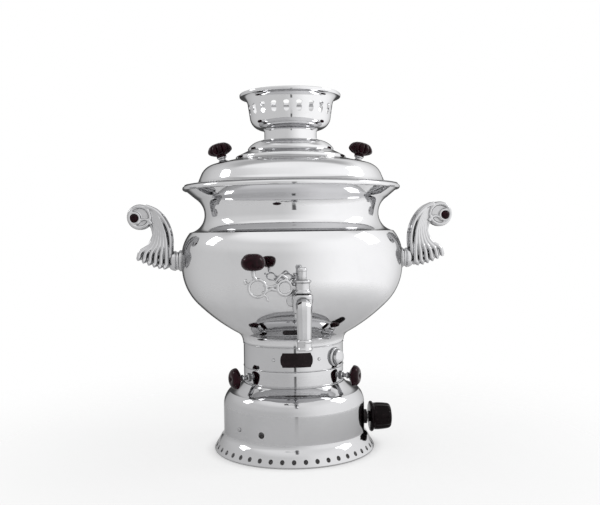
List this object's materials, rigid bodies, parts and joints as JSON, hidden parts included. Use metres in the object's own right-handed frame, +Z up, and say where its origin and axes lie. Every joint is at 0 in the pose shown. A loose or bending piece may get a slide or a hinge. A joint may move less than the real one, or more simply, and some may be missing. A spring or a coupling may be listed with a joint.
{
  "type": "gas samovar",
  "caption": "Polished metal gas samovar: bell base with burner, water vessel with tap and scroll handles, lift-off lid and pierced teapot crown.",
  "frame": {"origin": "on the table, at the centre of the base's round flange", "axes": "+Z up, -Y the front where the tap is, +X the side of the gas knob"},
  "size_m": [0.3888, 0.3173, 0.4205],
  "materials": {
    "polished_steel": "mirror-polished stainless steel",
    "inner_steel": "plain steel, unpolished",
    "chromed_metal": "bright chrome plating",
    "brass_parts": "turned brass",
    "copper_pipe": "drawn tube",
    "black_plate": "semi-gloss black, bare",
    "black_plastic": "black moulded plastic",
    "ceramic": "white insulator",
    "burgundy_knob": "dark burgundy bakelite, polished"
  },
  "bodies": {
    "samovar": {"base_housing": "polished_steel", "burner_bridge": "inner_steel", "bridge_rivets": "inner_steel", "spark_electrode": "ceramic", "thermocouple": "copper_pipe", "mixing_tube": "inner_steel", "burner_cup": "inner_steel", "burner_cap": "inner_steel", "injector": "brass_parts", "jet_pipe": "copper_pipe", "supply_pipe": "copper_pipe", "gas_valve": "brass_parts", "valve_collar": "black_plastic", "gas_inlet": "brass_parts", "stand_ring": "polished_steel", "stand_cylinder": "polished_steel", "thumb_bosses": "chromed_metal", "label_plate": "black_plate", "plate_rivets": "chromed_metal", "igniter_bezel": "chromed_metal", "igniter_body": "black_plastic", "vessel_bowl": "polished_steel", "vessel_neck": "polished_steel", "vessel_floor": "inner_steel", "flue_tube": "inner_steel", "handle_right": "chromed_metal", "handle_left": "chromed_metal", "ferrule_right": "chromed_metal", "ferrule_left": "chromed_metal", "handle_nuts": "inner_steel", "handle_eyes": "burgundy_knob", "tap_body": "chromed_metal", "tap_rosette": "chromed_metal", "tap_nut": "brass_parts"},
    "lid": {"lid_dome": "polished_steel", "lid_ferrules": "chromed_metal", "lid_knob_left": "burgundy_knob", "lid_knob_right": "burgundy_knob", "lid_screws": "inner_steel"},
    "crown": {"crown_neck": "polished_steel", "crown_gallery": "polished_steel", "crown_rim": "polished_steel"},
    "tap_key": {"tap_plug": "chromed_metal", "plug_nut": "chromed_metal", "tap_key": "chromed_metal", "tap_knob": "burgundy_knob"},
    "gas_spindle": {"valve_spindle": "chromed_metal"},
    "gas_knob": {"gas_knob": "burgundy_knob"},
    "igniter_button": {"igniter_button": "chromed_metal"},
    "left_screw": {"thumb_stem_left": "chromed_metal"},
    "left_disc": {"thumb_disc_left": "burgundy_knob"},
    "right_screw": {"thumb_stem_right": "chromed_metal"},
    "right_disc": {"thumb_disc_right": "burgundy_knob"}
  },
  "joints": [
    {"name": "lid_lift", "type": "slide", "parent": "samovar", "child": "lid", "axis": [0, 0, 1], "range_m": [0, 0.07]},
    {"name": "crown_lift", "type": "slide", "parent": "lid", "child": "crown", "axis": [0, 0, 1], "range_m": [0, 0.04]},
    {"name": "tap_turn", "type": "hinge", "parent": "samovar", "child": "tap_key", "pos_m": [0, -0.16, 0.186], "axis": [0, 0, 1], "range_deg": [0, 90]},
    {"name": "gas_push", "type": "slide", "parent": "samovar", "child": "gas_spindle", "axis": [-1, 0, 0], "range_m": [0, 0.003], "stiffness_N_per_m": 900},
    {"name": "gas_turn", "type": "hinge", "parent": "gas_spindle", "child": "gas_knob", "pos_m": [0.095, 0, 0.032], "axis": [1, 0, 0], "range_deg": [0, 90]},
    {"name": "igniter_press", "type": "slide", "parent": "samovar", "child": "igniter_button", "axis": [-0.766, 0.6428, 0], "range_m": [0, 0.004], "stiffness_N_per_m": 1500},
    {"name": "left_screw_travel", "type": "slide", "parent": "samovar", "child": "left_screw", "axis": [-0.9063, -0.4226, 0], "range_m": [0, 0.0024]},
    {"name": "left_disc_turn", "type": "hinge", "parent": "left_screw", "child": "left_disc", "pos_m": [-0.06843, -0.03191, 0.088], "axis": [-0.9063, -0.4226, 0], "range_deg": [0, 1080]},
    {"name": "right_screw_travel", "type": "slide", "parent": "samovar", "child": "right_screw", "axis": [0.9063, -0.4226, 0], "range_m": [0, 0.0024]},
    {"name": "right_disc_turn", "type": "hinge", "parent": "right_screw", "child": "right_disc", "pos_m": [0.06843, -0.03191, 0.088], "axis": [0.9063, -0.4226, 0], "range_deg": [0, 1080]}
  ],
  "couplings": [
    {"joint": "left_screw_travel", "follows": "left_disc_turn", "m_per_rad": 0.00012732},
    {"joint": "right_screw_travel", "follows": "right_disc_turn", "m_per_rad": 0.00012732}
  ]
}
